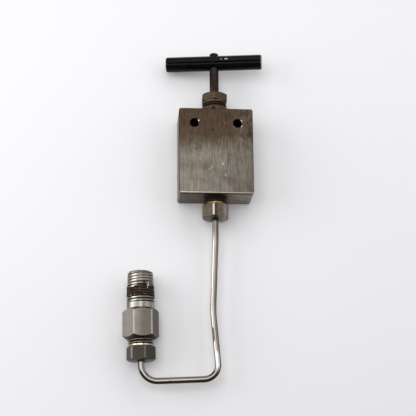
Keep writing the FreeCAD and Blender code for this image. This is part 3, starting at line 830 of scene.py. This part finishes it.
def nut_finish(name, light, dark, worn, place, showing):
    """Make a tube nut's steel, with threads darkened by grime and painted shade, and worn corners. Return it,
    its surface point, and how far that is from the nut's axis and along it."""
    finish = steel(name, light, dark, patch=2.5, smooth=0.28, rough=0.46, grain=0.4, stretch=(1, 8, 1),
                   depth=0.005)
    point = surface_point(finish)
    reach, height = about_axis(point, place)
    # Grime and painted shade in the thread that shows above the hexagon, most in its roots.
    grooves = scaled(ramp(height, -showing - 0.1, -showing + 0.1), ramp(reach, 5.7, 6.25, 1.0, 0.4))
    laid_over(grooves, 0.95, (46, 34, 24), 0.5, 0.8)
    corners = scaled(ramp(reach, 6.8, 7.05),
                     patches(point, 1.5, low=0.2, high=0.5, stretch=(1, 2, 1), shift=4.0))
    laid_over(corners, 0.85, worn, 0.3)
    return finish, point, reach, height


inlet_place = Matrix.Translation((0.0, block_low.y * mm, stem_z * mm))
inlet_nut = tube_nut("inlet_nut", inlet_showing, inlet_turn, inlet_rounding)
nut_steel, on_nut, reach, height = nut_finish("turned nut steel", (120, 111, 100), (82, 74, 65),
                                              (120, 111, 100), inlet_place, inlet_showing)
across = measures(on_nut)[0]
smudges = patches(on_nut, 1.1, low=0.45, high=0.65, stretch=(1, 1.8, 1), detail=4.0, shift=8.0)
laid_over(smudges, 0.5, (72, 60, 50), 0.4)
# The collar is golden, with a painted highlight across its middle and painted shade at its sides.
golden = mixed_colour(between(across, -3.9, 2.9, 0.7), (102, 76, 60), (164, 124, 82))
on_collar = between(height, -inlet_showing - nut_collar_height, -inlet_showing, 0.08)
laid_over(on_collar, 0.85, golden, 0.36)
# Painted shade on the thread between the collar and the block's foot.
on_thread = ramp(height, -inlet_showing, -inlet_showing + 0.1)
laid_over(on_thread, 0.6, (30, 24, 18), 0.6, 0.7)
right_side = scaled(between(across, 3.7, 5.4, 0.5), ramp(height, -4.1, -3.9, 1.0, 0.0))
laid_over(right_side, 0.4, (156, 146, 134), 0.34)
# Painted shade on the flat turned to the right and on the left flat.
laid_over(ramp(across, 5.6, 6.2, 0.0, 0.7), 1.0, (54, 46, 40), 0.4)
laid_over(ramp(across, -2.1, -1.7, 1.0, 0.0), 0.5, (66, 58, 50), 0.38)
# A painted highlight on a worn facet along the ridge left of the front, and a painted dark reflection just
# right of it.
wear_and_highlight = scaled(between(across, -1.7, -0.9, 0.15), ramp(reach, 6.7, 6.9))
laid_over(wear_and_highlight, 0.9, (186, 178, 166), 0.3)
beside = scaled(between(across, -0.8, 0.4, 0.15), ramp(reach, 6.5, 6.8))
laid_over(beside, 0.7, (50, 42, 35), 0.4)
settled(inlet_nut, nut_steel, inlet_place)
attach(inlet_nut, "valve_body")
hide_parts("inlet_gland_nut")

sleeve_steel = steel("turned sleeve steel", (190, 186, 180), (150, 146, 140), patch=2.0,
                     smooth=0.2, rough=0.36, grain=0.1, stretch=(8, 1, 8), depth=0.003)
finished(("inlet_sleeve", "connector_sleeve"), sleeve_steel)

# The tube is eighth-inch thick-walled stainless, bent cold by hand: almost straight down from the
# block, round a tight bend, along, and up another tight bend into the connector.
tube_radius = 1.5875
tube_bore_radius = 0.79
tube_depth = 12.6
first_corner = (0.0, -43.8)
kink_corner = (-1.53, -81.5)
right_corner = (1.37, -114.6)
left_corner_below_port = 20.45
gentle_radius = 60.0
right_bend_radius = 7.1
left_bend_radius = 7.9
pieces_of_run = 8
hex_length = 15.3
neck_length = 2.9
pipe_length = 15.7

pipe_axis = Vector(mounts["pipe_thread"]["axis"])
pipe_end = Vector(mounts["pipe_thread"]["pos_m"]) / mm
port_face = pipe_end - pipe_axis * (hex_length + neck_length + pipe_length)
yaw = math.atan2(-pipe_axis.x, pipe_axis.y)
connector_place = Matrix.Translation(port_face * mm) @ Matrix.Rotation(yaw, 4, "Z")

start = Vector((0.0, block_low.y + tube_depth, stem_z))
corners = [Vector((*first_corner, stem_z)), Vector((*kink_corner, 0)), Vector((*right_corner, 0))]
corners.append(port_face - pipe_axis * left_corner_below_port)
runs = [(after.xy - before.xy).length for before, after in zip(corners, corners[1:])]
for index in (1, 2):
    share = sum(runs[:index]) / sum(runs)
    corners[index].z = stem_z + (port_face.z - stem_z) * share
route = [start] + corners + [port_face + pipe_axis * tube_depth]
bend_radii = (gentle_radius, gentle_radius, right_bend_radius, left_bend_radius)

shape = bmesh.new()
unbent = shape.verts.layers.float_vector.new("unbent")
mouth = Matrix.Translation(start) @ tipped_forward
for radius in (tube_radius, tube_bore_radius):
    bmesh.ops.create_circle(shape, segments=32, radius=radius, matrix=mouth)
for vert in shape.verts:
    vert[unbent] = Vector((vert.co.x, 0.0, vert.co.z - stem_z)) * mm


def pushed_on(edges, motion, distance):
    """Draw the tube's open end on by a motion, and return the edges of its new end."""
    grown = bmesh.ops.extrude_edge_only(shape, edges=edges)["geom"]
    verts = [part for part in grown if isinstance(part, bmesh.types.BMVert)]
    bmesh.ops.transform(shape, matrix=motion, verts=verts)
    for vert in verts:
        vert[unbent].y += distance * mm
    fresh = set(verts)
    return [part for part in grown if isinstance(part, bmesh.types.BMEdge) and fresh.issuperset(part.verts)]


first_ends = shape.edges[:]
ends = first_ends
here = start
for index, bend_radius in enumerate(bend_radii, start=1):
    before = (route[index - 1] - route[index]).normalized()
    after = (route[index + 1] - route[index]).normalized()
    half_turn = (math.pi - before.angle(after)) / 2
    reach = bend_radius * math.tan(half_turn)
    run = route[index] + before * reach - here
    for piece_of_run in range(pieces_of_run):
        ends = pushed_on(ends, Matrix.Translation(run / pieces_of_run), run.length / pieces_of_run)
    centre = route[index] + (before + after).normalized() * bend_radius / math.cos(half_turn)
    steps = max(4, round(math.degrees(half_turn) / 2.0))
    turn = Matrix.Rotation(2 * half_turn / steps, 4, after.cross(before))
    step_round = Matrix.Translation(centre) @ turn @ Matrix.Translation(-centre)
    for step in range(steps):
        ends = pushed_on(ends, step_round, 2 * half_turn * bend_radius / steps)
    here = route[index] + after * reach
ends = pushed_on(ends, Matrix.Translation(route[-1] - here), (route[-1] - here).length)
bmesh.ops.bridge_loops(shape, edges=first_ends)
bmesh.ops.bridge_loops(shape, edges=ends)
bmesh.ops.recalc_face_normals(shape, faces=shape.faces)
tube = solid("bent_tube", shape)

# Its patterns follow the unbent tube: how far to its side, along it and forward a point is.
tube_steel = new_finish("drawn tube steel")
feed(tube_steel, "Metallic", 1.0)
unrolled = node("Attribute", material=tube_steel, attribute_name="unbent").outputs["Vector"]
side, length, front = measures(unrolled)
cloud = patches(unrolled, 5.0, low=0.35, high=0.65, stretch=(1, 3, 1))
lines = patches(unrolled, 0.2, stretch=(1, 30, 1))
level_run = between(length, 99.0, 150.0, 4.0)
# Painted highlights: along the left side below the nut, and across the tube going into the right bend.
left_highlight = scaled(between(side, -1.4, -0.75, 0.3), ramp(length, 28.0, 38.0))
bend_highlight = scaled(between(length, 91.5, 99.5, 1.5), between(side, -0.9, 0.8, 0.3))
# The level run is painted a lighter tone for how light falls on it, the tube is dulled by grime below the
# nut, and grain lines run along it.
tone = mixed_colour(cloud, (130, 124, 116), (154, 149, 141))
for cover, other_tone in ((left_highlight, (222, 218, 211)), (scaled(level_run, 0.4), (160, 153, 144)),
                          (bend_highlight, (224, 220, 213)),
                          (ramp(length, 27.0, 36.0, 0.7, 0.0), (92, 86, 79)),
                          (scaled(lines, 0.3), (112, 104, 94))):
    tone = mixed_colour(cover, tone, other_tone)
feed(tube_steel, "Base Color", tone)
feed(tube_steel, "Roughness", mixed_value(cloud, 0.06, 0.11))
relief(lines, 0.0008)
marks = patches(unrolled, 1.6, low=0.64, high=0.72, stretch=(0.7, 3, 0.7), detail=4.0)
laid_over(marks, 0.6, (78, 64, 54), 0.4, 0.9)
# Painted shade darkens one side of the tube all along, the right of the upright and the lower side of the
# level run, most on the level run.
under = scaled(ramp(math_of("ADD", side, scaled(level_run, -0.1 * mm)), 0.45, 1.0),
               ramp(level_run, 0.0, 1.0, 0.55, 0.9, unit=1.0))
laid_over(under, 1.0, (44, 38, 34), 0.25)
# A painted dark reflection along the upper side of the level run.
upper = scaled(level_run, between(side, -1.5, -0.55, 0.25))
laid_over(upper, 0.65, (70, 64, 58), 0.25)
mark = scaled(scaled(between(side, -1.15, -0.6, 0.12), between(length, 79.5, 86.0, 0.8)),
              math_of("GREATER_THAN", front, 0.0))
laid_over(mark, 0.85, (46, 36, 30), 0.5, 0.9)
settled(tube, tube_steel, Matrix.Identity(4), crease=50.0)
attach(tube, "valve_body")
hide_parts("pressure_tube")

# The connector is turned from five-eighths hexagon bar, brighter than the rest: a coned tube port in
# its foot, a short round neck, and a quarter-inch tapered pipe thread with a bore in its end.
connector_size = 15.875
connector_turn = -24.0
connector_chamfer_radius = 6.9
connector_chamfer_slope = 38.0
connector_rounding = 0.3
pipe_radius = 6.858
pipe_taper = 1.0 / 32.0
pipe_pitch = 1.411
pipe_depth = 1.0
pipe_end_chamfer = 0.8
pipe_crest = 0.42
pipe_bore_radius = 2.4
pipe_bore_depth = 12.0
pipe_bore_edge = 0.3

neck_top = hex_length + neck_length
pipe_top = neck_top + pipe_length
pipe_end_radius = pipe_radius - pipe_length * pipe_taper
bore_floor = pipe_top - pipe_bore_depth
connector = solid("pipe_connector", hexagon(connector_size, 0, hex_length, connector_chamfer_radius,
                                            connector_turn, connector_rounding, connector_chamfer_slope))
welded(connector, plug(hex_length - past, neck_top, pipe_radius, high_edge=light_edge))
welded(connector, threaded_rod(neck_top - 0.3, pipe_top, pipe_radius, pipe_end_radius - pipe_end_chamfer,
                               pipe_radius, pipe_pitch, pipe_depth, pipe_taper, pipe_crest))
carved(connector, port_cutter(bore_radius, bore_floor + past))
carved(connector, turned([(0, bore_floor), (pipe_bore_radius, bore_floor),
                          (pipe_bore_radius, pipe_top - pipe_bore_edge),
                          (pipe_bore_radius + pipe_bore_edge + past, pipe_top + past),
                          (0, pipe_top + past)], steps=64))


def from_connector_axis(point):
    """Return how far right of the connector's foot a point is, in metres."""
    return math_of("SUBTRACT", measures(point)[0], connector_place.translation.x)


connector_steel = steel("bright connector steel", (152, 147, 139), (110, 104, 96), patch=3.0,
                        smooth=0.24, rough=0.36, grain=0.4, stretch=(1, 25, 1), depth=0.003)
on_connector = surface_point(connector_steel)
reach, height = about_axis(on_connector, connector_place)
rightward = from_connector_axis(on_connector)

# The neck has a painted highlight on its left, painted shade at its far left edge, and one painted dark
# reflection line.
neck_lit_tone = mixed_colour(ramp(rightward, -4.7, -3.2), (194, 190, 183), (154, 150, 143))
neck_lit_tone = mixed_colour(ramp(rightward, -6.4, -5.3), (110, 104, 96), neck_lit_tone)
neck_reflection_line = scaled(between(rightward, -2.1, -1.2, 0.3), 0.7)
neck_lit_tone = mixed_colour(neck_reflection_line, neck_lit_tone, (104, 100, 94))
laid_over(between(height, hex_length, neck_top), 0.9, neck_lit_tone, 0.32)

# The pipe thread has a painted highlight on its left. Its grooves are clean at its end, where they are
# painted lighter against their shade, and hold brown paste lower down.
crest_height = scaled(math_of("SUBTRACT", height, neck_top * mm), pipe_taper)
grooves = ramp(math_of("ADD", reach, crest_height), pipe_radius - 0.7 * pipe_depth, pipe_radius - 0.15,
               1.0, 0.0)
on_thread = between(height, neck_top, pipe_top)
laid_over(on_thread, 0.8, (134, 129, 120), 0.42)
thread_highlight = scaled(on_thread, between(rightward, -4.9, -2.4, 0.9))
laid_over(thread_highlight, 0.75, (226, 222, 214), 0.38)
lightened_clean_grooves = scaled(grooves, ramp(height, neck_top + 7.0, neck_top + 9.0))
laid_over(lightened_clean_grooves, 0.8, (206, 201, 192), 0.42)
lower_turns = scaled(grooves, ramp(height, neck_top + 5.0, neck_top + 9.0, 0.95, 0.0))
laid_over(scaled(on_thread, lower_turns), 1.0, (58, 48, 39), 0.5, 0.8)

# The hexagon's flats get painted shade towards the right and a painted highlight at the left edge, and its
# upper corners get painted highlights, brightest to the right.
on_hexagon = between(height, 0.0, hex_length)
for flat, share, tone, roughness in (
        (ramp(rightward, -3.6, 1.5), 0.75, (86, 80, 74), 0.32),
        (ramp(rightward, 5.3, 5.9), 0.6, (70, 63, 58), 0.36),
        (ramp(rightward, -3.9, -3.5, 1.0, 0.0), 0.5, (170, 165, 156), 0.32)):
    laid_over(scaled(on_hexagon, flat), share, tone, roughness)
corners = scaled(ramp(reach, 8.85, 8.98), ramp(height, hex_length - 0.3, hex_length, 1.0, 0.0))
corner_highlight_tone = mixed_colour(ramp(rightward, 0.0, 5.0), (146, 141, 133), (206, 201, 192))
laid_over(corners, 0.8, corner_highlight_tone, 0.25)
smear = patches(on_connector, 1.2, low=0.58, high=0.74, stretch=(1, 3, 1), detail=4.0)
laid_over(smear, 0.35, (112, 98, 82), 0.42)
# Painted shade on the chamfer at the hexagon's foot, next to the nut.
slope = math.tan(math.radians(connector_chamfer_slope))
cone_height = scaled(math_of("SUBTRACT", reach, connector_chamfer_radius * mm), slope)
on_cone = ramp(math_of("SUBTRACT", height, cone_height), 0.05, 0.2, 1.0, 0.0)
laid_over(on_cone, 0.85, (40, 34, 29), 0.5)
# Painted shade on the chamfer at the pipe thread's end.
laid_over(ramp(height, pipe_top - 0.55, pipe_top - 0.3), 0.9, (48, 41, 35), 0.5)
settled(connector, connector_steel, connector_place)
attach(connector, "valve_body")
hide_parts("connector_body")

# Brown sealing paste has hardened in the pipe thread's grooves and over some of its crests. Its
# edges are ragged, and a white flake of it stands on the front.
sealant_start = 3.1
sealant_top = 8.5
sealant_proud = 0.3
sealant_margin = 1.2
sealant_height = 8.8
sealant_inner_radius = pipe_radius - pipe_depth - 0.3
sealant_peaks = ((17.0, 12.0, 1.2), (37.0, 8.0, -1.5), (-50.0, 24.0, -1.3), (140.0, 20.0, 0.8),
                 (-120.0, 15.0, -0.9))
sealant_drip_turn = 78.0
sealant_drip_width = 20.0
sealant_drip = 1.1
sealant_rows = 60

sealant_foot = neck_top + sealant_start - sealant_margin
rows = [(sealant_inner_radius, sealant_foot)]
rows += [(pipe_radius, sealant_foot + sealant_height * row / sealant_rows) for row in range(sealant_rows + 1)]
rows.append((sealant_inner_radius, rows[-1][1]))
shape = turned(rows, steps=160)
for vert in shape.verts:
    reach = math.hypot(vert.co.x, vert.co.z)
    if reach < pipe_radius - 0.01:
        continue
    round_pipe = math.degrees(math.atan2(vert.co.x, vert.co.z))
    ragged = 0.25 * noise.noise(vert.co * 1.1) + 0.2 * noise.noise(vert.co * 3.1)
    upper = neck_top + sealant_top + 2.0 * ragged
    for peak_turn, peak_width, peak_rise in sealant_peaks:
        upper += peak_rise * math.exp(-((round_pipe - peak_turn) / peak_width) ** 2)
    lower = neck_top + sealant_start + ragged
    lower -= sealant_drip * math.exp(-((round_pipe - sealant_drip_turn) / sealant_drip_width) ** 2)
    inside = min(vert.co.y - lower, upper - vert.co.y)
    cover = max(0.0, min(1.0, inside / 0.3 + 0.5))
    lumps = noise.fractal(vert.co * 0.9, 0.6, 2.2, 5)
    ripple = math.cos(math.tau * vert.co.y / pipe_pitch + math.radians(round_pipe))
    crest = pipe_radius - (vert.co.y - neck_top) * pipe_taper
    skin = min(crest + 0.15 + 0.18 * lumps + 0.07 * ripple, crest + sealant_proud)
    wanted = (crest - pipe_depth - 0.2) * (1 - cover) + skin * cover
    vert.co.x *= wanted / reach
    vert.co.z *= wanted / reach
sealant = solid("pipe_sealant", shape)
paste_brown = coated("hardened brown paste", (20, 11, 6), (52, 33, 20), 0.8, 0.5, patch=0.9,
                     low=0.35, high=0.65, detail=5.0)
on_paste = surface_point(paste_brown)
height = about_axis(on_paste, connector_place)[1]
waves = math_of("SINE", scaled(height, math.tau / pipe_pitch / mm))
ridges = scaled(ramp(waves, 0.3, 0.9, unit=1.0),
                patches(on_paste, 1.4, low=0.45, high=0.6, stretch=(2, 1, 2), shift=6.0))
brown = fed(paste_brown, "Base Color")
feed(paste_brown, "Base Color", mixed_colour(scaled(ridges, 0.5), brown, (120, 92, 60)))
feed(paste_brown, "Specular IOR Level", 0.2)
relief(patches(on_paste, 0.25, detail=5.0), 0.06)
settled(sealant, paste_brown, connector_place, crease=60.0)
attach(sealant, "valve_body")
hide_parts("thread_sealant")

flake_turn = math.radians(31.0)
flake_low = neck_top + 6.5
flake_size = Vector((0.5, 3.3, 0.12))
shape = bmesh.new()
bmesh.ops.create_cube(shape, size=1.0, matrix=Matrix.Diagonal((*flake_size, 1.0)))
bmesh.ops.subdivide_edges(shape, edges=shape.edges[:], cuts=5, use_grid_fill=True)
for vert in shape.verts:
    share = vert.co.y / flake_size.y
    vert.co.x *= 1.0 - 1.1 * abs(share) + 0.35 * noise.noise(vert.co * 2.0)
    vert.co.x += 0.22 * math.sin(share * 5.0)
    vert.co.z += 0.12 * math.cos(share * 4.0)
flake = solid("sealant_flake", shape)
flake_middle = Matrix.Translation((0, flake_low + flake_size.y / 2, pipe_radius))
flake.data.transform(Matrix.Rotation(flake_turn, 4, "Y") @ flake_middle)
flake_white = coated("dried white flake", (190, 184, 174), (226, 222, 214), 0.6, 0.8, patch=0.5)
settled(flake, flake_white, connector_place)
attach(flake, "valve_body")

# The second tube nut holds the tube in the connector. It is darker than the first, and its collar
# is rubbed bright.
connector_showing = 2.4
connector_nut_turn = -42.0
connector_nut_rounding = 0.35
connector_nut = tube_nut("connector_nut", connector_showing, connector_nut_turn, connector_nut_rounding)
dark_nut_steel, on_nut, reach, height = nut_finish("dark nut steel", (68, 64, 58), (46, 43, 39),
                                                   (64, 60, 54), connector_place, connector_showing)
rightward = from_connector_axis(on_nut)
wear_and_highlight = between(height, -connector_showing - nut_collar_height, -connector_showing, 0.06)
laid_over(wear_and_highlight, 1.0, (206, 194, 174), 0.24)
# Painted shade on the left flat, a painted highlight on the right, painted highlights on the ridges, brighter
# on the left, and on the tips of the thread.
laid_over(ramp(rightward, -4.1, -3.6, 1.0, 0.0), 0.4, (40, 37, 34), 0.4)
laid_over(ramp(rightward, 2.7, 3.1), 0.45, (92, 88, 80), 0.4)
ridge_highlight_tone = mixed_colour(ramp(rightward, 0.0, 1.0), (118, 112, 104), (78, 77, 69))
laid_over(ramp(reach, 6.9, 7.1), 0.85, ridge_highlight_tone, 0.32)
thread_tip_highlights = scaled(ramp(height, -connector_showing, -connector_showing + 0.1), ramp(reach, 6.22, 6.3))
laid_over(thread_tip_highlights, 0.8, (170, 160, 146), 0.35)
settled(connector_nut, dark_nut_steel, connector_place)
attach(connector_nut, "valve_body")
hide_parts("connector_gland_nut")

# The valve lies on a pale table. A soft lamp hangs nearly overhead, a strong one stands to the
# left, and two broad ones stand behind the handle and to the right, in a dim grey room.
table_size = 6.0
table_drop = 0.02
lamp_aim = Vector((-0.01, -0.03, 0.0))
shape = bmesh.new()
bmesh.ops.create_grid(shape, x_segments=1, y_segments=1, size=table_size / 2 / mm)
table = solid("table", shape)
table_paint = new_finish("pale table")
path = node("LightPath", material=table_paint).outputs
seen = math_of("MAXIMUM", path["Is Glossy Ray"], path["Is Transmission Ray"])
seen = math_of("MAXIMUM", path["Is Camera Ray"], seen)
feed(table_paint, "Base Color", mixed_colour(seen, (205, 204, 206), (251, 250, 252)))
feed(table_paint, "Roughness", 0.9)
feed(table_paint, "Specular IOR Level", 0.0)
settled(table, table_paint, Matrix.Translation((0, 0, cad_low.z - table_drop * mm)))

lamps = (("overhead lamp", (-0.142, 0.032, 0.685), 0.55, 0.55, 2.19),
         ("left lamp", (-0.544, 0.045, 0.263), 0.5, 0.5, 1.78),
         ("right lamp", (0.555, 0.07, 0.402), 0.7, 0.7, 1.57),
         ("handle lamp", (0.086, 0.513, 0.431), 0.6, 0.4, 1.13))
for name, spot, width, depth, watts in lamps:
    light = bpy.data.lights.new(name, "AREA")
    light.shape = "RECTANGLE"
    light.size = width
    light.size_y = depth
    light.energy = watts
    facing = (lamp_aim - Vector(spot)).to_track_quat("-Z", "Y")
    set_out(name, light).matrix_world = Matrix.Translation(spot) @ facing.to_matrix().to_4x4()
room = bpy.data.worlds.new("grey room")
room.use_nodes = True
room.node_tree.nodes["Background"].inputs["Color"].default_value = (0.12, 0.12, 0.122, 1.0)
room.node_tree.nodes["Background"].inputs["Strength"].default_value = 1.0
bpy.context.scene.world = room
